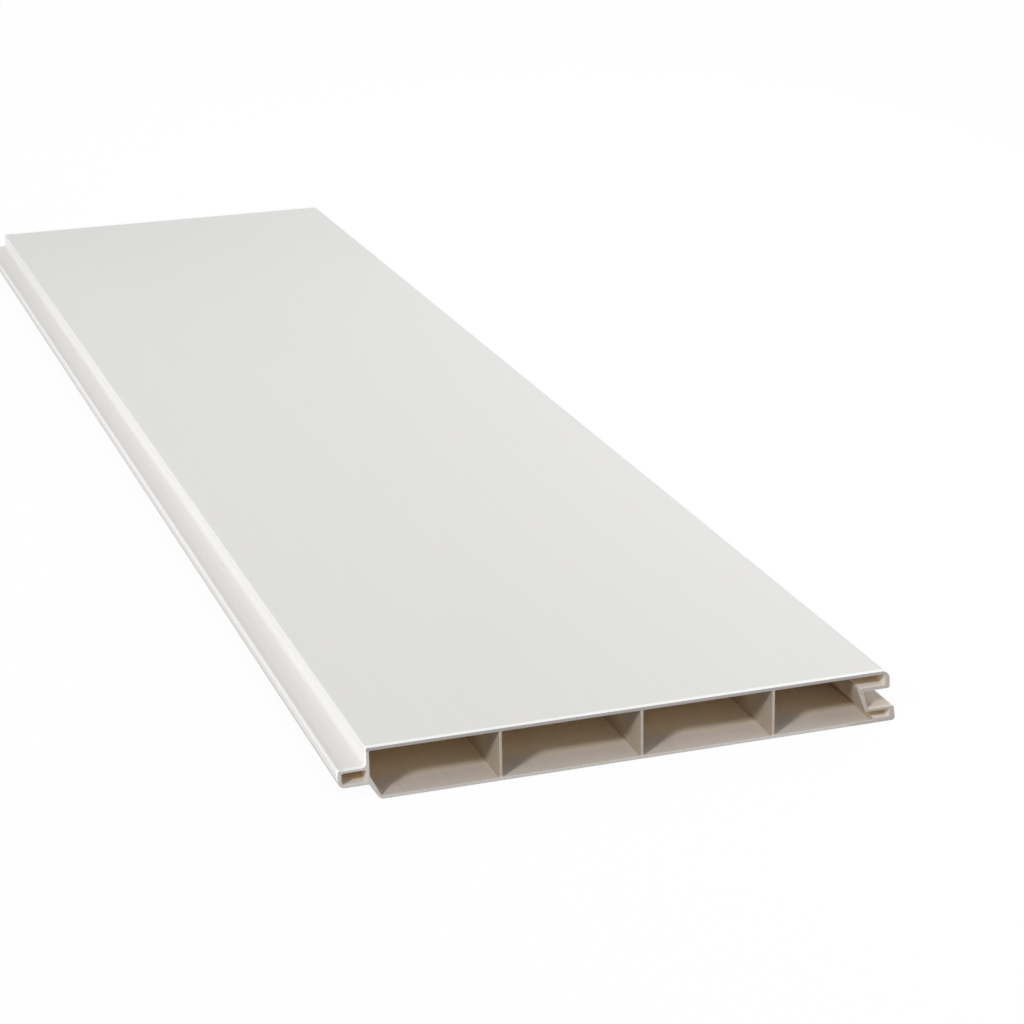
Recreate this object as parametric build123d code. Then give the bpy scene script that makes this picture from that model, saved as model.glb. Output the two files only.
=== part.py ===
from build123d import *
from math import radians, sqrt, tan
import os

# A hollow tongue-and-groove fence board in rigid white vinyl, lying flat with its good face up.
# X runs across the board from the tongue to the grooved edge, Y runs along it, Z is its thickness.
# The origin is under the middle of the board, on the surface that it lies on. Millimetres.

# The board as it is sold
board_length = 914.4
board_thickness = 22.2
face_width = 219.6  # top face, from the wall behind the tongue to the tip of the upper lip

# Walls of the extrusion
top_skin = 1.5
bottom_skin = 1.4
edge_wall = 1.4  # the wall behind the tongue
web_thickness = 1.15
tongue_wall = 1.25  # above and below the tongue's hollow
tongue_tip_wall = 1.7
lip_wall = 1.7  # between the groove and the upper lip's pocket
nose_wall = 2.1  # end of the upper lip
toe_wall = 2.5  # end of the lower lip
toe_floor = 2.2  # bottom of the lower lip
toe_roof = 1.35  # between the groove and the lower lip's pocket

# Webs, by their middle planes
middle_web_offset = 2.75  # from the middle of the face towards the groove
left_web_spacing = 58.55
right_web_spacing = 56.1

# Tongue
tongue_reach = 11.4
tongue_thickness = 7.35
tongue_underside = 6.85  # height of its lower face
tongue_upper_radius = 0.9
tongue_lower_radius = 3.0
tongue_root_radius = 1.0
tongue_hollow_radius = 0.7
tongue_hollow_lower_radius = 1.2

# The edge wall below the tongue: thicker at the tongue's root, then cut back for the next board's lip
root_thickness = 3.2
root_taper = 3.4  # height over which the wall grows to that
foot_start = 0.9  # where the cut-back leaves the tongue's underside
foot_setback = 5.2  # where it would meet the bottom
foot_wall = 1.15  # across the cut-back, at the floor of the first cell
foot_start_radius = 0.5
foot_radius = 3.0
foot_inner_radius = 1.6

# Groove and its two lips
joint_gap = 1.6  # between the top faces of two boards with the tongue home
side_clearance = 0.2  # above and below the tongue
tip_clearance = 0.55  # between the tongue's tip and the back of the groove
back_lean = 14.5  # degrees that the back of the groove leans out towards its floor
back_wall_top = 2.4  # thickness of the back, level with the groove's ceiling
back_wall_foot = 1.5  # and level with its floor
groove_corner_radius = 0.7
nose_radius = 3.7  # upper lip, at the top face
upper_lip_radius = 0.9
lower_lip_lead = 2.95  # how far the lower lip reaches past the upper one
lower_lip_draft = 0.9  # how far its end leans back towards the groove
lower_lip_top_radius = 1.0
lower_lip_bottom_radius = 1.4
back_wall_radius = 0.7  # on the side of the last cell
pocket_radius = 0.6
pocket_nose_radius = 1.8
toe_step_run = 0.8  # slope from the cell's floor up to the lower lip's thicker bottom

# Small corners
face_edge_radius = 0.6  # the top face's edge above the tongue
cell_radius = 0.6

# Heights that the tongue, the groove and the cells share
tongue_top = tongue_underside + tongue_thickness
groove_floor = tongue_underside - side_clearance
groove_ceiling = tongue_top + side_clearance
cell_ceiling = board_thickness - top_skin

# The back of the groove leans, and just clears the tongue where its lower corner starts to round
lean = tan(radians(back_lean))
back_height = tongue_underside + tongue_lower_radius
back_reach = face_width + joint_gap - tongue_reach - tip_clearance


def back_place(height):
    # X of the groove's back at this height
    return back_reach + (back_height - height) * lean


def back_inner_place(height):
    # X of the same wall on the side of the last cell, where it leans a little more
    share = (height - groove_floor) / (groove_ceiling - groove_floor)
    return back_place(height) - back_wall_foot - (back_wall_top - back_wall_foot) * share


def rounded_shape(*corners):
    # A flat closed shape from corners given as X, Z and radius, where a radius of 0 stays sharp
    shape = make_face(Polyline(*[(x, z) for x, z, radius in corners], close=True))
    for x, z, radius in corners:
        if radius > 0:
            corner = shape.vertices().sort_by_distance((x, z, 0))[0]
            shape = fillet(corner, radius)
    return shape


def board_outline():
    lip_end = face_width + lower_lip_lead
    lip_height = board_thickness - groove_ceiling
    return rounded_shape(
        (0, board_thickness, face_edge_radius),
        (0, tongue_top, tongue_root_radius),
        (-tongue_reach, tongue_top, tongue_upper_radius),
        (-tongue_reach, tongue_underside, tongue_lower_radius),
        (foot_start, tongue_underside, foot_start_radius),
        (foot_setback, 0, foot_radius),
        (lip_end, 0, lower_lip_bottom_radius),
        (lip_end - lower_lip_draft, groove_floor, lower_lip_top_radius),
        (back_place(groove_floor), groove_floor, groove_corner_radius),
        (back_place(groove_ceiling), groove_ceiling, groove_corner_radius),
        (face_width, groove_ceiling, upper_lip_radius),
        (face_width, board_thickness, min(nose_radius, 0.7 * lip_height)),
    )


def tongue_hollow():
    tip = -tongue_reach + tongue_tip_wall
    ceiling = tongue_top - tongue_wall
    floor = tongue_underside + tongue_wall
    return rounded_shape(
        (0, ceiling, tongue_hollow_radius),
        (tip, ceiling, tongue_hollow_radius),
        (tip, floor, tongue_hollow_lower_radius),
        (0, floor, tongue_hollow_radius),
    )


def edge_cell(right):
    # The cell beside the tongue: its wall thickens at the tongue's root and follows the cut-back foot
    foot_slope = (foot_setback - foot_start) / tongue_underside
    foot_place = foot_setback - bottom_skin * foot_slope + foot_wall * sqrt(1 + foot_slope**2)
    return rounded_shape(
        (edge_wall, cell_ceiling, cell_radius),
        (edge_wall, tongue_underside + root_taper, 0),
        (root_thickness, tongue_underside, 0),
        (foot_place, bottom_skin, foot_inner_radius),
        (right, bottom_skin, cell_radius),
        (right, cell_ceiling, cell_radius),
    )


def plain_cell(left, right):
    return rounded_shape(
        (left, cell_ceiling, cell_radius),
        (left, bottom_skin, cell_radius),
        (right, bottom_skin, cell_radius),
        (right, cell_ceiling, cell_radius),
    )


def groove_cell(left):
    # The last cell, which runs out above and below the groove into the two hollow lips
    upper_floor = groove_ceiling + lip_wall
    lower_ceiling = groove_floor - toe_roof
    upper_tip = face_width - nose_wall
    lower_tip = face_width + lower_lip_lead - lower_lip_draft / 2 - toe_wall
    toe_start = back_place(0)
    pocket_height = cell_ceiling - upper_floor
    return rounded_shape(
        (left, cell_ceiling, cell_radius),
        (left, bottom_skin, cell_radius),
        (toe_start, bottom_skin, 0),
        (toe_start + toe_step_run, toe_floor, 0),
        (lower_tip, toe_floor, pocket_radius),
        (lower_tip, lower_ceiling, pocket_radius),
        (back_inner_place(lower_ceiling), lower_ceiling, back_wall_radius),
        (back_inner_place(upper_floor), upper_floor, back_wall_radius),
        (upper_tip, upper_floor, min(pocket_radius, 0.3 * pocket_height)),
        (upper_tip, cell_ceiling, min(pocket_nose_radius, 0.6 * pocket_height)),
    )


middle_web = face_width / 2 + middle_web_offset
left_web = middle_web - left_web_spacing
right_web = middle_web + right_web_spacing
half_web = web_thickness / 2

section = board_outline()
section -= tongue_hollow()
section -= edge_cell(left_web - half_web)
section -= plain_cell(left_web + half_web, middle_web - half_web)
section -= plain_cell(middle_web + half_web, right_web - half_web)
section -= groove_cell(right_web + half_web)

# Centre the section across the board, stand it up and run it half the length each way
middle = section.bounding_box().center().X
fence_board = extrude(Plane.XZ * Pos(-middle, 0) * section, amount=board_length / 2, both=True)

os.makedirs("parts", exist_ok=True)
export_step(fence_board, "parts/fence_board.step")
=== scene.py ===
from math import cos, pi, radians, sin, sqrt, tan

import bmesh
import bpy
from mathutils import Matrix, Vector


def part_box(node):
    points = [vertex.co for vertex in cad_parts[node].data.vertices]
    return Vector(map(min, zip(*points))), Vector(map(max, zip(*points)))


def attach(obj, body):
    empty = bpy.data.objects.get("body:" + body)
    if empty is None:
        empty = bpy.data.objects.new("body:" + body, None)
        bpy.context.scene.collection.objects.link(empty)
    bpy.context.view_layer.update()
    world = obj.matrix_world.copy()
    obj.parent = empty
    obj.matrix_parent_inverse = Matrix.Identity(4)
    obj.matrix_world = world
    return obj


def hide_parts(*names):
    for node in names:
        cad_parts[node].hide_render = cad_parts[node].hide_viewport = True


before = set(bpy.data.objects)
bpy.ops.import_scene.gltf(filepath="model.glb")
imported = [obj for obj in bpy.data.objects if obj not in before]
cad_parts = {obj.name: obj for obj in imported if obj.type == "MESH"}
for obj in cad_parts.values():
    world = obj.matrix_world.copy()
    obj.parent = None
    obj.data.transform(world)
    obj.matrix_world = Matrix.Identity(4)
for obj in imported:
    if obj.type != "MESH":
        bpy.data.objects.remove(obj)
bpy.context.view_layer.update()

mm = 0.001
boardLow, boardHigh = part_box("fence_board")
boardLength = boardHigh.y - boardLow.y
boardThickness = boardHigh.z - boardLow.z
nearby = 0.00001    # two places closer than this are the same
squareOn = 0.999    # a face that looks straight along an axis has this much of its normal there


# small helpers for edit mode

def freshStart():
    # nothing selected, object mode
    if bpy.context.object and bpy.context.object.mode != "OBJECT":
        bpy.ops.object.mode_set(mode="OBJECT")
    bpy.ops.object.select_all(action="DESELECT")


def editing(piece):
    bpy.context.view_layer.objects.active = piece
    if piece.mode != "EDIT":
        bpy.ops.object.mode_set(mode="EDIT")
    bpy.ops.mesh.select_all(action="DESELECT")
    return bmesh.from_edit_mesh(piece.data)


def pick(piece, kind, wanted):
    # selects the vertices, edges or faces of the mesh in edit mode that the test wants
    shape = editing(piece)
    bpy.context.tool_settings.mesh_select_mode = (kind == "verts", kind == "edges", kind == "faces")
    for part in getattr(shape, kind):
        if wanted(part):
            part.select_set(True)
    shape.select_flush_mode()
    bmesh.update_edit_mesh(piece.data)


# the board's section, in millimetres from the wall behind the tongue

boardSection = {
    "faceWidth": 219.6,
    "topSkin": 1.5,
    "bottomSkin": 1.4,
    "edgeWall": 1.4,
    "web": 1.15,
    "webPlaces": (54.0, 112.55, 168.65),
    "tongueReach": 11.4,
    "tongueLow": 6.85,
    "tongueHigh": 14.2,
    "tongueWall": 1.25,
    "tongueTipWall": 1.7,
    "tipShadeTop": 12.3,           # height on the tongue's tip below which it is painted in shade
    "rootThickness": 3.2,       # the wall is thicker where the tongue starts
    "rootTaper": 3.4,
    "footStart": 0.9,           # and is cut back below it
    "footSetback": 5.2,
    "footWall": 1.15,
    "jointGap": 1.6,            # between two boards' top faces
    "sideClearance": 0.2,
    "tipClearance": 0.55,
    "backHeight": 9.85,         # where the groove's back comes nearest to the tongue
    "backLean": 14.5,
    "backWallTop": 2.4,
    "backWallFoot": 1.5,
    "lipWall": 1.7,
    "noseWall": 2.1,
    "toeWall": 2.5,
    "toeFloor": 2.2,
    "toeRoof": 1.35,
    "toeStepRun": 0.8,
    "lipLead": 2.95,
    "lipDraft": 0.9,
    "faceEdgeRadius": 0.6,
    "tongueRootRadius": 1.8,
    "tongueUpperRadius": 0.9,
    "tongueLowerRadius": 3.0,
    "footStartRadius": 0.5,
    "footRadius": 3.0,
    "footInnerRadius": 1.6,
    "toeBottomRadius": 1.4,
    "toeTopRadius": 1.0,
    "grooveRadius": 0.7,
    "lipRadius": 0.9,
    "noseRadius": 3.7,
    "backRadius": 0.7,
    "pocketNoseRadius": 1.8,
    "cellRadius": 0.6,
    "hollowRadius": 0.7,
    "hollowLowerRadius": 1.2,
    "arcSteps": 7,              # straight pieces in each rounded corner
    "arris": 0.14,              # the soft edge that a wipe leaves on the cut ends
    "arrisSteps": 3,
    "smoothAngle": 35,
}


def outerCorners(s):
    thickness = boardThickness / mm
    floor = s["tongueLow"] - s["sideClearance"]
    ceiling = s["tongueHigh"] + s["sideClearance"]
    end = s["faceWidth"] + s["lipLead"]
    return [
        (0, thickness, s["faceEdgeRadius"]),
        (0, s["tongueHigh"], s["tongueRootRadius"]),
        (-s["tongueReach"], s["tongueHigh"], s["tongueUpperRadius"]),
        (-s["tongueReach"], s["tipShadeTop"], 0),
        (-s["tongueReach"], s["tongueLow"], s["tongueLowerRadius"]),
        (s["footStart"], s["tongueLow"], s["footStartRadius"]),
        (s["footSetback"], 0, s["footRadius"]),
        (end, 0, s["toeBottomRadius"]),
        (end - s["lipDraft"], floor, s["toeTopRadius"]),
        (grooveBack(s, floor), floor, s["grooveRadius"]),
        (grooveBack(s, ceiling), ceiling, s["grooveRadius"]),
        (s["faceWidth"], ceiling, s["lipRadius"]),
        (s["faceWidth"], thickness, s["noseRadius"]),
    ]


def grooveBack(s, height):
    reach = s["faceWidth"] + s["jointGap"] - s["tongueReach"] - s["tipClearance"]
    return reach + (s["backHeight"] - height) * tan(radians(s["backLean"]))


def grooveInside(s, height):
    # the same wall on the side of the last cell, thicker towards the top
    floor = s["tongueLow"] - s["sideClearance"]
    share = (height - floor) / (s["tongueHigh"] + s["sideClearance"] - floor)
    return grooveBack(s, height) - s["backWallFoot"] - (s["backWallTop"] - s["backWallFoot"]) * share


def hollows(s):
    # the tongue's hollow, then the four cells from left to right
    top = boardThickness / mm - s["topSkin"]
    low = s["bottomSkin"]
    half = s["web"] / 2
    r = s["cellRadius"]
    h = s["hollowRadius"]
    b = s["backRadius"]
    left, middle, right = s["webPlaces"]
    slope = (s["footSetback"] - s["footStart"]) / s["tongueLow"]
    foot = s["footSetback"] - low * slope + s["footWall"] * sqrt(1 + slope ** 2)
    wall = s["edgeWall"]
    tip = s["tongueTipWall"] - s["tongueReach"]
    roof = s["tongueHigh"] - s["tongueWall"]
    bed = s["tongueLow"] + s["tongueWall"]
    taper = s["tongueLow"] + s["rootTaper"]
    shelf = s["tongueHigh"] + s["sideClearance"] + s["lipWall"]
    below = s["tongueLow"] - s["sideClearance"] - s["toeRoof"]
    nose = s["faceWidth"] - s["noseWall"]
    toe = s["faceWidth"] + s["lipLead"] - s["lipDraft"] / 2 - s["toeWall"]
    step = grooveBack(s, 0)
    return [
        [(0, roof, h), (tip, roof, h), (tip, bed, s["hollowLowerRadius"]), (0, bed, h)],
        [(wall, top, r), (wall, taper, 0), (s["rootThickness"], s["tongueLow"], 0),
         (foot, low, s["footInnerRadius"]), (left - half, low, r), (left - half, top, r)],
        [(left + half, top, r), (left + half, low, r),
         (middle - half, low, r), (middle - half, top, r)],
        [(middle + half, top, r), (middle + half, low, r),
         (right - half, low, r), (right - half, top, r)],
        [(right + half, top, r), (right + half, low, r), (step, low, 0),
         (step + s["toeStepRun"], s["toeFloor"], 0), (toe, s["toeFloor"], r), (toe, below, r),
         (grooveInside(s, below), below, b), (grooveInside(s, shelf), shelf, b),
         (nose, shelf, r), (nose, top, s["pocketNoseRadius"])],
    ]


def drawLoop(piece, corners, steps):
    # one closed line at the near end: a circle pulled to the corners, each then rounded
    shift = boardLow.x + boardSection["tongueReach"] * mm
    start = boardLow.y + boardSection["arris"] * mm
    places = [Vector((shift + x * mm, start, z * mm)) for x, z, radius in corners]
    editing(piece)
    bpy.ops.mesh.primitive_circle_add(vertices=len(corners), radius=1, fill_type="NOTHING")
    shape = bmesh.from_edit_mesh(piece.data)
    ring = [v for v in shape.verts if v.select]
    ordered = [ring[0]]
    while len(ordered) < len(ring):
        here = ordered[-1]
        beside = [e.other_vert(here) for e in here.link_edges]
        ordered.append([v for v in beside if v not in ordered][0])
    for vertex, place in zip(ordered, places):
        vertex.co = place
    bmesh.update_edit_mesh(piece.data)
    for number, (x, z, radius) in enumerate(corners):
        if radius == 0:
            continue
        here = places[number]
        before = (places[number - 1] - here).normalized()
        after = (places[(number + 1) % len(places)] - here).normalized()
        reach = radius * mm / tan(before.angle(after) / 2)
        pick(piece, "verts", lambda v: (v.co - here).length < nearby)
        bpy.ops.mesh.bevel(offset_type="OFFSET", offset=reach, segments=steps, affect="VERTICES")


def atEnd(part, end):
    return all(abs(vertex.co.y - end) < nearby for vertex in part.verts)


def closeCut(piece, end):
    # one flat sawn face across all the walls
    pick(piece, "edges", lambda e: atEnd(e, end))
    bpy.ops.mesh.fill(use_beauty=True)
    shape = bmesh.from_edit_mesh(piece.data)
    for face in shape.faces:
        if atEnd(face, end):
            face.material_index = finishSlots["sawnEnd"]
    bmesh.update_edit_mesh(piece.data)


def softenCut(piece, side, arris, steps):
    # draws the cut face in and out in a quarter round
    sawn = finishSlots["sawnEnd"]
    turns = [pi / 2 * step / steps for step in range(steps + 1)]
    for low, high in zip(turns, turns[1:]):
        pick(piece, "faces", lambda f: f.material_index == sawn and f.normal.y * side > squareOn)
        inward = arris * (cos(low) - cos(high))
        outward = arris * (sin(high) - sin(low))
        bpy.ops.mesh.inset(thickness=inward, depth=outward)

    # its rims take the finish of the walls that they meet, one row in each round
    end = side * boardLength / 2
    shape = bmesh.from_edit_mesh(piece.data)
    cutFaces = [f for f in shape.faces if f.material_index == sawn]
    rims = [f for f in cutFaces if f.calc_center_median().y * side > 0 and not atEnd(f, end)]
    for row in range(steps + 1):
        for rim in rims:
            beside = [face.material_index for edge in rim.edges for face in edge.link_faces]
            walls = [slot for slot in beside if slot != sawn]
            if walls:
                rim.material_index = walls[0]
    bmesh.update_edit_mesh(piece.data)


def buildBoard():
    s = boardSection
    freshStart()

    # an empty piece to draw in
    bpy.ops.mesh.primitive_circle_add(vertices=3, radius=1)
    piece = bpy.context.object
    piece.name = "fenceBoard"
    piece.data.name = "fenceBoard"
    editing(piece)
    bpy.ops.mesh.select_all(action="SELECT")
    bpy.ops.mesh.delete(type="VERT")
    for name in boardFinish:
        piece.data.materials.append(sawnEnd(name) if name == "sawnEnd" else newVinyl(name))

    # draw the outline and the hollows, then run each along the board as walls
    tongueHollow, *cells = hollows(s)
    loops = [("whiteSkin", outerCorners(s)), ("hollowPaintedShade", tongueHollow)]
    loops += [("innerPaintedShade", cell) for cell in cells]
    for finish, corners in loops:
        drawLoop(piece, corners, s["arcSteps"])
        pick(piece, "edges", lambda e: not e.link_faces)
        bpy.ops.mesh.extrude_edges_indiv()
        bpy.ops.transform.translate(value=(0, boardLength - 2 * s["arris"] * mm, 0))
        shape = bmesh.from_edit_mesh(piece.data)
        for edge in shape.edges:
            if edge.select:
                edge.link_faces[0].material_index = finishSlots[finish]
        bmesh.update_edit_mesh(piece.data)

    # close both cut ends
    closeCut(piece, boardLow.y + s["arris"] * mm)
    closeCut(piece, boardHigh.y - s["arris"] * mm)
    editing(piece)
    bpy.ops.mesh.select_all(action="SELECT")
    bpy.ops.mesh.normals_make_consistent(inside=False)
    for side in (-1, 1):
        softenCut(piece, side, s["arris"] * mm, s["arrisSteps"])
    paintShadeAndLight(piece, s)

    freshStart()
    piece.select_set(True)
    bpy.context.view_layer.objects.active = piece
    bpy.ops.object.transform_apply(location=True, rotation=True, scale=True)
    bpy.ops.object.shade_smooth_by_angle(angle=radians(s["smoothAngle"]))
    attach(piece, "root")
    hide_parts("fence_board")
    print("board:", len(piece.data.polygons), "faces")
    return piece


# where one finish ends and another begins, in millimetres

finishPlaces = {
    "websAfter": 20,            # right of the wall behind the tongue
    "websBefore": 6,            # left of the groove's mouth
    "footWidth": 8,             # right of that wall, the first cell's sloping foot
    "pocketDepth": 11,          # left of the mouth, the hollows in both lips
    "grooveDepth": 14,
    "lowerLip": 2,              # right of the mouth
    "mouthSkin": 0.2,           # how far the white skin turns into the groove
    "tongueSkin": 0.1,          # left of the wall, where the tongue's painted light and shade start
    "sideways": 0.3,            # from here on, parts of a face's normal
    "slanting": 0.25,
    "downwards": -0.1,
    "upwards": 0.5,
    "level": 0.99,
}


def paintShadeAndLight(piece, s):
    # paints light and shade into the finishes: shade inside the groove, on the tongue's underside
    # and low tip, along the wall's foot, on the webs' sides that face the tongue, on the first
    # cell's foot and in the lips' hollows; light on the tongue's top
    p = finishPlaces
    wall = boardLow.x + s["tongueReach"] * mm
    mouth = wall + s["faceWidth"] * mm
    root = wall - s["tongueRootRadius"] * mm - nearby
    rootTop = (s["tongueHigh"] + s["tongueRootRadius"]) * mm
    grooveLow = (s["tongueLow"] - s["sideClearance"]) * mm - nearby
    grooveHigh = (s["tongueHigh"] + s["sideClearance"]) * mm + nearby
    shape = editing(piece)
    for face in shape.faces:
        x, z = face.calc_center_median().xz
        left, up = -face.normal.x, face.normal.z
        finish = finishNames[face.material_index]
        if finish == "innerPaintedShade":
            between = wall + p["websAfter"] * mm < x < mouth - p["websBefore"] * mm
            onFoot = x < wall + p["footWidth"] * mm and left < -p["sideways"]
            if between and left > p["sideways"]:
                finish = "webPaintedShade"
            elif onFoot or x > mouth - p["pocketDepth"] * mm:
                finish = "hollowPaintedShade"
        elif finish == "whiteSkin":
            inReach = mouth - p["grooveDepth"] * mm < x < mouth + p["lowerLip"] * mm
            inRoot = root < x < wall and z < rootTop
            onTongue = x < wall - p["tongueSkin"] * mm
            if inReach and grooveLow < z < grooveHigh:
                if x < mouth - p["mouthSkin"] * mm or up > p["upwards"]:
                    finish = "groovePaintedShade"
            elif inRoot and left > p["slanting"] and up > p["slanting"]:
                finish = "cornerPaintedShade"
            elif onTongue and up < p["downwards"]:
                finish = "underPaintedShade"
            elif onTongue and z < s["tipShadeTop"] * mm:
                finish = "cornerPaintedShade"
            elif onTongue and up > p["level"]:
                finish = "tonguePaintedLight"
        face.material_index = finishSlots[finish]
    bmesh.update_edit_mesh(piece.data)


# the finishes: all are the same vinyl; most carry painted highlights beside the cut ends and painted
# shade or light on some faces; one is the sawn cut

boardFinish = {
    "whiteSkin": {
        "colour": (0.738, 0.731, 0.721),
        "endColour": (0.93, 0.93, 0.925),   # a painted highlight along the skin beside the cut
        "endFull": 0.0012,
        "endGone": 0.0028,
        "roughness": 0.42,
        "unevenness": 0.008,
        "lineDepth": 0.000004,
        "lineSpacing": 700,
    },
    "innerPaintedShade": {
        # painted shade: warm brown deeper in the cells, where they lie in shade
        "colour": (0.90, 0.76, 0.57),
        "endColour": (0.57, 0.515, 0.458),  # greyer near the cut ends, where the sun lights the cells' floors
        "endFull": 0.009,
        "endGone": 0.026,
        "roughness": 0.5,
        "unevenness": 0.03,
        "lineDepth": 0.00002,
        "lineSpacing": 500,
    },
    "sawnEnd": {
        "skinShadeColour": (0.445, 0.43, 0.416),  # the cut through the top skin, painted darker as shade
        "colour": (0.665, 0.634, 0.60),      # through the tongue and the bottom skin, painted lighter as light from the floor
        "innerColour": (0.52, 0.472, 0.425), # and through the webs and the lips
        "skinDepth": 0.0015,
        "skinBlend": 0.0006,
        "websAbove": (0.0014, 0.0022),       # height from which the webs' tone begins
        "websFrom": (0.021, 0.041),          # and place across the board, from the tongue's tip
        "lipsFrom": (0.210, 0.217),
        "roughness": 0.75,
        "unevenness": 0.04,
        "markSpacing": 0.0013,               # of the saw's teeth
        "markLean": 38,
        "markWaver": 2.5,
        "markDetail": 2,
        "markDepth": 0.00003,
        "markTone": 0.05,
    },
    "groovePaintedShade": {
        # painted shade inside the groove, lighter beside the cut ends
        "colour": (0.52, 0.45, 0.37),
        "endColour": (0.60, 0.53, 0.46),
        "endFull": 0.0005,
        "endGone": 0.004,
        "roughness": 0.45,
        "unevenness": 0.02,
        "lineDepth": 0.00001,
        "lineSpacing": 500,
    },
    "tonguePaintedLight": {
        # painted light: the tongue's top is lighter than the white skin, for the lamp light that the
        # wall keeps off it, and lighter again beside the cut as a painted highlight
        "colour": (0.762, 0.752, 0.738),
        "tipStripColour": (0.715, 0.695, 0.664),  # a darker strip along the tongue's tip
        "tipStripFull": 0.0015,
        "tipStripGone": 0.0040,
        "endColour": (0.90, 0.895, 0.885),
        "endFull": 0.0008,
        "endGone": 0.0024,
        "roughness": 0.45,
        "unevenness": 0.015,
        "lineDepth": 0.00001,
        "lineSpacing": 500,
    },
    "cornerPaintedShade": {                        # painted shade along the wall's foot and low on the tongue's tip, lighter beside the cut as a painted highlight
        "colour": (0.66, 0.652, 0.64),
        "endColour": (0.80, 0.795, 0.785),
        "endFull": 0.0008,
        "endGone": 0.0024,
        "roughness": 0.5,
        "unevenness": 0.03,
        "lineDepth": 0.00001,
        "lineSpacing": 500,
    },
    "underPaintedShade": {                         # painted shade greys the tongue's underside and lower rounding, lighter beside the cut as a painted highlight
        "colour": (0.46, 0.45, 0.435),
        "endColour": (0.60, 0.59, 0.575),
        "endFull": 0.0004,
        "endGone": 0.0012,
        "roughness": 0.5,
        "unevenness": 0.03,
        "lineDepth": 0.00001,
        "lineSpacing": 500,
    },
    "webPaintedShade": {                           # painted shade on the webs' sides that face the tongue, darker still beside the cut ends
        "colour": (0.58, 0.465, 0.335),
        "endColour": (0.355, 0.293, 0.23),
        "endFull": 0.009,
        "endGone": 0.026,
        "roughness": 0.5,
        "unevenness": 0.03,
        "lineDepth": 0.00002,
        "lineSpacing": 500,
    },
    "hollowPaintedShade": {                        # painted warm shade inside the tongue, on the first cell's foot and in the lips' hollows, greyer beside the cut ends
        "colour": (0.95, 0.78, 0.55),
        "endColour": (0.70, 0.645, 0.59),
        "endFull": 0.0025,
        "endGone": 0.006,
        "roughness": 0.5,
        "unevenness": 0.03,
        "lineDepth": 0.00001,
        "lineSpacing": 500,
    },
}
finishNames = list(boardFinish)
finishSlots = {name: number for number, name in enumerate(finishNames)}

# what all the finishes share

vinylGrain = {
    "refraction": 1.53,
    "shine": 0.35,
    "glossSwing": 0.05,         # either side of a finish's roughness
    "toneGain": 4,
    "cloudScale": 28,
    "cloudStretch": 0.2,        # along the board
    "cloudDetail": 3,
    "cloudRoughness": 0.55,
    "cloudRange": (0.3, 0.7),
    "lineStretch": 0.004,       # along the board
    "lineDetail": 2,
    "lineRoughness": 0.6,
}


def emptyGroup(name, inputs, outputs):
    group = bpy.data.node_groups.new(name, "ShaderNodeTree")
    for label, kind, value in inputs:
        socket = group.interface.new_socket(label, in_out="INPUT", socket_type=kind)
        if value is not None:
            socket.default_value = value
    for label, kind in outputs:
        group.interface.new_socket(label, in_out="OUTPUT", socket_type=kind)
    return group, group.nodes.new("NodeGroupInput"), group.nodes.new("NodeGroupOutput")


def addNode(tree, kind, **values):
    node = tree.nodes.new(kind)
    for key, value in values.items():
        setattr(node, key, value)
    return node


def setInputs(node, **values):
    for key, value in values.items():
        node.inputs[key].default_value = value


def namedSocket(sockets, identifier):
    return [socket for socket in sockets if socket.identifier == identifier][0]


def dieLines():
    # long faint lines that the die leaves along an extrusion, as a value about 0.5
    group, inside, outside = emptyGroup(
        "dieLines",
        [("Place", "NodeSocketVector", None), ("Spacing", "NodeSocketFloat", 700.0)],
        [("Line", "NodeSocketFloat")],
    )
    link = group.links.new
    grain = vinylGrain
    stretch = addNode(group, "ShaderNodeMapping", vector_type="POINT")
    setInputs(stretch, Scale=(1, grain["lineStretch"], 1))
    noise = addNode(group, "ShaderNodeTexNoise")
    setInputs(noise, Detail=grain["lineDetail"], Roughness=grain["lineRoughness"])
    link(inside.outputs["Place"], stretch.inputs["Vector"])
    link(stretch.outputs["Vector"], noise.inputs["Vector"])
    link(inside.outputs["Spacing"], noise.inputs["Scale"])
    link(noise.outputs["Fac"], outside.inputs["Line"])
    return group


def nearCut():
    # 1 beside the sawn ends, falling to 0 further along the board
    group, inside, outside = emptyGroup(
        "nearCut",
        [("Place", "NodeSocketVector", None), ("Full", "NodeSocketFloat", 0.001),
         ("Gone", "NodeSocketFloat", 0.003)],
        [("Mask", "NodeSocketFloat")],
    )
    link = group.links.new
    axes = addNode(group, "ShaderNodeSeparateXYZ")
    along = addNode(group, "ShaderNodeMath", operation="ABSOLUTE")
    depth = addNode(group, "ShaderNodeMath", operation="SUBTRACT")
    depth.inputs[0].default_value = boardLength / 2
    fade = addNode(group, "ShaderNodeMapRange", interpolation_type="SMOOTHSTEP")
    fade.inputs["To Min"].default_value = 1
    fade.inputs["To Max"].default_value = 0
    link(inside.outputs["Place"], axes.inputs["Vector"])
    link(axes.outputs["Y"], along.inputs[0])
    link(along.outputs[0], depth.inputs[1])
    link(depth.outputs[0], fade.inputs["Value"])
    link(inside.outputs["Full"], fade.inputs["From Min"])
    link(inside.outputs["Gone"], fade.inputs["From Max"])
    link(fade.outputs["Result"], outside.inputs["Mask"])
    return group


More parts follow.
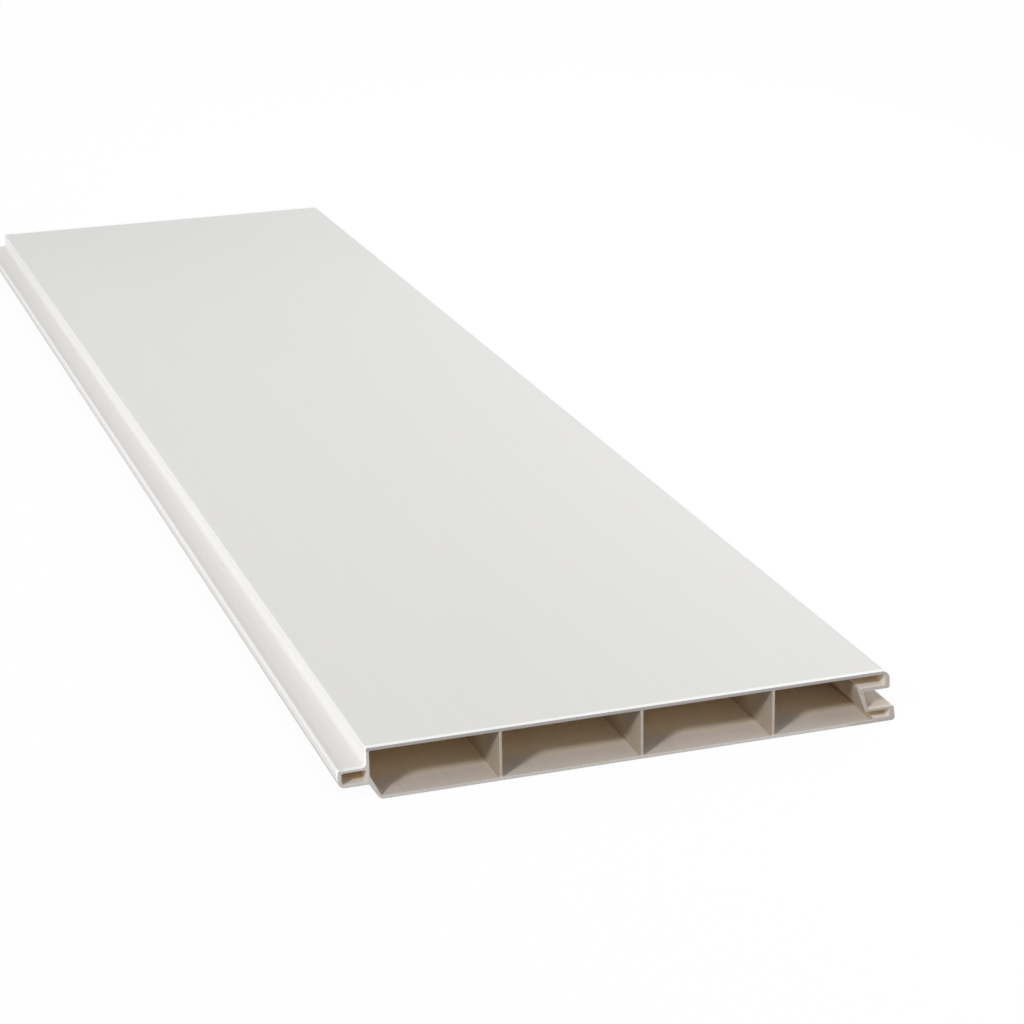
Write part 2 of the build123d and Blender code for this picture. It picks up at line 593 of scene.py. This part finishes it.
def unevenTone():
    # makes a colour slightly uneven, in broad clouds drawn out along the board and in streaks
    group, inside, outside = emptyGroup(
        "unevenTone",
        [("Place", "NodeSocketVector", None), ("Colour", "NodeSocketColor", None),
         ("Streak", "NodeSocketFloat", 0.5), ("Unevenness", "NodeSocketFloat", 0.01)],
        [("Colour", "NodeSocketColor"), ("Cloud", "NodeSocketFloat")],
    )
    link = group.links.new
    grain = vinylGrain
    stretch = addNode(group, "ShaderNodeMapping", vector_type="POINT")
    setInputs(stretch, Scale=(1, grain["cloudStretch"], 1))
    noise = addNode(group, "ShaderNodeTexNoise")
    setInputs(noise, Scale=grain["cloudScale"], Detail=grain["cloudDetail"])
    setInputs(noise, Roughness=grain["cloudRoughness"])
    both = addNode(group, "ShaderNodeMath", operation="ADD")
    centred = addNode(group, "ShaderNodeMath", operation="SUBTRACT")
    centred.inputs[1].default_value = 1
    factor = addNode(group, "ShaderNodeMath", operation="MULTIPLY_ADD")
    factor.inputs[2].default_value = 1
    gain = addNode(group, "ShaderNodeMath", operation="MULTIPLY")
    gain.inputs[1].default_value = grain["toneGain"]
    scaled = addNode(group, "ShaderNodeVectorMath", operation="SCALE")
    link(inside.outputs["Place"], stretch.inputs["Vector"])
    link(stretch.outputs["Vector"], noise.inputs["Vector"])
    link(noise.outputs["Fac"], both.inputs[0])
    link(inside.outputs["Streak"], both.inputs[1])
    link(both.outputs[0], centred.inputs[0])
    link(inside.outputs["Unevenness"], gain.inputs[0])
    link(centred.outputs[0], factor.inputs[0])
    link(gain.outputs[0], factor.inputs[1])
    link(inside.outputs["Colour"], scaled.inputs[0])
    link(factor.outputs[0], scaled.inputs["Scale"])
    link(scaled.outputs[0], outside.inputs["Colour"])
    link(noise.outputs["Fac"], outside.inputs["Cloud"])
    return group


nodeGroups = {"dieLines": dieLines(), "nearCut": nearCut(), "unevenTone": unevenTone()}


def newMaterial(name, colour, roughness):
    material = bpy.data.materials.new(name)
    material.use_nodes = True
    shader = material.node_tree.nodes["Principled BSDF"]
    shader.inputs["Base Color"].default_value = (*colour, 1)
    shader.inputs["Roughness"].default_value = roughness
    shader.inputs["IOR"].default_value = vinylGrain["refraction"]
    shader.inputs["Specular IOR Level"].default_value = vinylGrain["shine"]
    return material, shader


def addTone(tree, place, colour, streak, look, shader):
    # the uneven tone over a colour, and a roughness that follows the same clouds
    link = tree.links.new
    tone = addNode(tree, "ShaderNodeGroup", node_tree=nodeGroups["unevenTone"])
    tone.inputs["Unevenness"].default_value = look["unevenness"]
    rough = addNode(tree, "ShaderNodeMapRange")
    lowest, highest = vinylGrain["cloudRange"]
    rough.inputs["From Min"].default_value = lowest
    rough.inputs["From Max"].default_value = highest
    rough.inputs["To Min"].default_value = look["roughness"] - vinylGrain["glossSwing"]
    rough.inputs["To Max"].default_value = look["roughness"] + vinylGrain["glossSwing"]
    link(place, tone.inputs["Place"])
    link(colour, tone.inputs["Colour"])
    link(streak, tone.inputs["Streak"])
    link(tone.outputs["Colour"], shader.inputs["Base Color"])
    link(tone.outputs["Cloud"], rough.inputs["Value"])
    link(rough.outputs["Result"], shader.inputs["Roughness"])


def mixColours(tree, factor, low, high):
    # low and high are each a colour or a socket that gives one
    mix = addNode(tree, "ShaderNodeMix", data_type="RGBA")
    for identifier, value in (("A_Color", low), ("B_Color", high)):
        socket = namedSocket(mix.inputs, identifier)
        if isinstance(value, tuple):
            socket.default_value = (*value, 1)
        else:
            tree.links.new(value, socket)
    tree.links.new(factor, namedSocket(mix.inputs, "Factor_Float"))
    return namedSocket(mix.outputs, "Result_Color")


def fadeIn(tree, value, start, stop):
    # 0 before the start, 1 after the stop
    fade = addNode(tree, "ShaderNodeMapRange", interpolation_type="SMOOTHSTEP")
    fade.inputs["From Min"].default_value = start
    fade.inputs["From Max"].default_value = stop
    tree.links.new(value, fade.inputs["Value"])
    return fade.outputs["Result"]


def joinMasks(tree, operation, first, second):
    both = addNode(tree, "ShaderNodeMath", operation=operation)
    tree.links.new(first, both.inputs[0])
    tree.links.new(second, both.inputs[1])
    return both.outputs[0]


def addBump(tree, height, depth, shader):
    bump = addNode(tree, "ShaderNodeBump")
    bump.inputs["Strength"].default_value = 1
    bump.inputs["Distance"].default_value = depth
    tree.links.new(height, bump.inputs["Height"])
    tree.links.new(bump.outputs["Normal"], shader.inputs["Normal"])


def addTipStrip(tree, place, colour, look):
    # another tone along the tongue's tip
    axes = addNode(tree, "ShaderNodeSeparateXYZ")
    tree.links.new(place, axes.inputs["Vector"])
    full, gone = boardLow.x + look["tipStripFull"], boardLow.x + look["tipStripGone"]
    away = fadeIn(tree, axes.outputs["X"], full, gone)
    return mixColours(tree, away, look["tipStripColour"], colour)


def newVinyl(name):
    # vinyl with die lines and a second colour beside the cut ends: on the outside faces a painted
    # highlight, inside a painted split between sunlit and shaded tones
    look = boardFinish[name]
    material, shader = newMaterial(name, look["colour"], look["roughness"])
    tree = material.node_tree
    place = addNode(tree, "ShaderNodeTexCoord").outputs["Object"]
    lines = addNode(tree, "ShaderNodeGroup", node_tree=nodeGroups["dieLines"])
    lines.inputs["Spacing"].default_value = look["lineSpacing"]
    mask = addNode(tree, "ShaderNodeGroup", node_tree=nodeGroups["nearCut"])
    mask.inputs["Full"].default_value = look["endFull"]
    mask.inputs["Gone"].default_value = look["endGone"]
    tree.links.new(place, lines.inputs["Place"])
    tree.links.new(place, mask.inputs["Place"])
    colour = mixColours(tree, mask.outputs["Mask"], look["colour"], look["endColour"])
    if "tipStripColour" in look:
        colour = addTipStrip(tree, place, colour, look)
    addTone(tree, place, colour, lines.outputs["Line"], look, shader)
    addBump(tree, lines.outputs["Line"], look["lineDepth"], shader)
    return material


def sawnEnd(name):
    # the cut faces: darker through the top skin as painted shade, and through the webs and the lips,
    # with leaning saw marks
    look = boardFinish[name]
    material, shader = newMaterial(name, look["colour"], look["roughness"])
    tree = material.node_tree
    place = addNode(tree, "ShaderNodeTexCoord").outputs["Object"]
    axes = addNode(tree, "ShaderNodeSeparateXYZ")
    leaning = addNode(tree, "ShaderNodeMapping", vector_type="POINT")
    leaning.inputs["Rotation"].default_value = (0, radians(look["markLean"]), 0)
    marks = addNode(tree, "ShaderNodeTexWave")
    setInputs(marks, Distortion=look["markWaver"], Detail=look["markDetail"])
    setInputs(marks, Scale=pi / 10 / look["markSpacing"])   # at scale 1 the bands are pi / 10 apart
    streak = addNode(tree, "ShaderNodeMapRange")
    spread = look["markTone"] / look["unevenness"] / vinylGrain["toneGain"]
    streak.inputs["To Min"].default_value = 0.5 - spread
    streak.inputs["To Max"].default_value = 0.5 + spread
    link = tree.links.new
    link(place, axes.inputs["Vector"])
    link(place, leaning.inputs["Vector"])
    link(leaning.outputs["Vector"], marks.inputs["Vector"])
    link(marks.outputs["Fac"], streak.inputs["Value"])
    across, height = axes.outputs["X"], axes.outputs["Z"]
    pastTongue = fadeIn(tree, across, *[boardLow.x + reach for reach in look["websFrom"]])
    inLips = fadeIn(tree, across, *[boardLow.x + reach for reach in look["lipsFrom"]])
    webs = joinMasks(tree, "MULTIPLY", fadeIn(tree, height, *look["websAbove"]), pastTongue)
    inner = joinMasks(tree, "MAXIMUM", webs, inLips)
    colour = mixColours(tree, inner, look["colour"], look["innerColour"])
    # painted shade: the cut through the top skin is darker
    skinEnd = boardThickness - look["skinDepth"]
    skin = fadeIn(tree, height, skinEnd - look["skinBlend"], skinEnd)
    colour = mixColours(tree, skin, colour, look["skinShadeColour"])
    addTone(tree, place, colour, streak.outputs["Result"], look, shader)
    addBump(tree, marks.outputs["Fac"], look["markDepth"], shader)
    return material


print("finishes:", ", ".join(finishNames))
board = buildBoard()


# the studio: the photograph's camera, a soft sun, a pale sky, two soft panels and a floor

studio = {
    "cameraPlace": (-0.34862, -1.38699, 0.44675),
    "yaw": -18.078,
    "pitch": 19.0216,
    "roll": -1.0434,
    "focalPixels": 2750.78,
    "pictureWidth": 1024,
    "sensorWidth": 36,
    "clipStart": 0.01,
    "sunPlace": (-1, -1.4, 1.2),
    "sunFrom": (-1.12, -0.9, 1.0),
    "sunStrength": 1.79,
    "sunSize": 9,
    "skyLevel": 0.44,
    "panels": {                 # place, size, strength
        "leftPanel": ((-1.6, -0.15, 0.12), (1.5, 0.28), 9.2),
        "rightPanel": ((0.55, -0.05, 0.36), (1.8, 0.4), 3.0),
    },
    "floorSize": 12,
    "floorColour": (0.38, 0.38, 0.38),
    "floorRoughness": 0.9,
    "floorShare": 0.86,         # of the glow in what the camera sees, the rest keeps the shadow
    "floorGlow": 1.1,
}


def setCamera(look):
    bpy.ops.object.camera_add(location=look["cameraPlace"])
    camera = bpy.context.object
    turn = Matrix.Rotation(radians(look["yaw"]), 3, "Z")
    tilt = Matrix.Rotation(pi / 2 - radians(look["pitch"]), 3, "X")
    roll = Matrix.Rotation(radians(look["roll"]), 3, "Z")
    camera.rotation_euler = (turn @ tilt @ roll).to_euler()
    camera.data.sensor_width = look["sensorWidth"]
    camera.data.lens = look["focalPixels"] / look["pictureWidth"] * look["sensorWidth"]
    camera.data.clip_start = look["clipStart"]
    bpy.context.scene.camera = camera


def setLights(look):
    bpy.ops.object.light_add(type="SUN", location=look["sunPlace"])
    sun = bpy.context.object
    sun.data.energy = look["sunStrength"]
    sun.data.angle = radians(look["sunSize"])
    sun.rotation_euler = Vector(look["sunFrom"]).to_track_quat("Z", "Y").to_euler()
    for name, (place, size, strength) in look["panels"].items():
        addPanel(name, place, size, strength)


def addPanel(name, place, size, strength):
    # a soft lamp that faces the middle of the board, its long side along the board
    bpy.ops.object.light_add(type="AREA", location=place)
    panel = bpy.context.object
    panel.name = name
    panel.data.shape = "RECTANGLE"
    panel.data.size, panel.data.size_y = size
    panel.data.energy = strength
    panel.visible_glossy = False
    panel.visible_camera = False
    away = Vector((place[0], 0, place[2])).normalized()
    along = Vector((0, 1, 0))
    panel.rotation_euler = Matrix((along, away.cross(along), away)).transposed().to_euler()


def seenByCamera(tree, kinds):
    # 1 for the rays that show the backdrop, 0 for those that light the board
    path = addNode(tree, "ShaderNodeLightPath")
    seen = path.outputs[kinds[0]]
    for kind in kinds[1:]:
        seen = joinMasks(tree, "MAXIMUM", seen, path.outputs[kind])
    return seen


def setWorld(look):
    world = bpy.data.worlds.new("softSky")
    world.use_nodes = True
    bpy.context.scene.world = world
    tree = world.node_tree
    sky = tree.nodes["Background"]
    sky.inputs["Color"].default_value = (1, 1, 1, 1)
    seen = seenByCamera(tree, ["Is Camera Ray", "Is Glossy Ray", "Is Transmission Ray"])
    level = addNode(tree, "ShaderNodeMapRange")
    level.inputs["To Min"].default_value = look["skyLevel"]
    level.inputs["To Max"].default_value = 1
    tree.links.new(seen, level.inputs["Value"])
    tree.links.new(level.outputs["Result"], sky.inputs["Strength"])


def setFloor(look):
    bpy.ops.mesh.primitive_plane_add(size=look["floorSize"], location=(0, 0, 0))
    floor = bpy.context.object
    floor.name = "studioFloor"
    floor.data.materials.append(paleFloor(look))


def paleFloor(look):
    # white to the camera, with the board's shadow kept as a light tone
    material, shader = newMaterial("paleFloor", look["floorColour"], look["floorRoughness"])
    tree = material.node_tree
    glow = addNode(tree, "ShaderNodeEmission")
    glow.inputs["Strength"].default_value = look["floorGlow"]
    share = addNode(tree, "ShaderNodeMath", operation="MULTIPLY")
    share.inputs[1].default_value = look["floorShare"]
    mix = addNode(tree, "ShaderNodeMixShader")
    link = tree.links.new
    link(seenByCamera(tree, ["Is Camera Ray", "Is Glossy Ray"]), share.inputs[0])
    link(share.outputs[0], mix.inputs["Fac"])
    link(shader.outputs[0], mix.inputs[1])
    link(glow.outputs[0], mix.inputs[2])
    link(mix.outputs[0], tree.nodes["Material Output"].inputs["Surface"])
    return material


freshStart()
setCamera(studio)
setLights(studio)
setWorld(studio)
setFloor(studio)
bpy.context.scene.view_settings.view_transform = "Standard"
print("studio: camera, lights, sky and floor are in place")
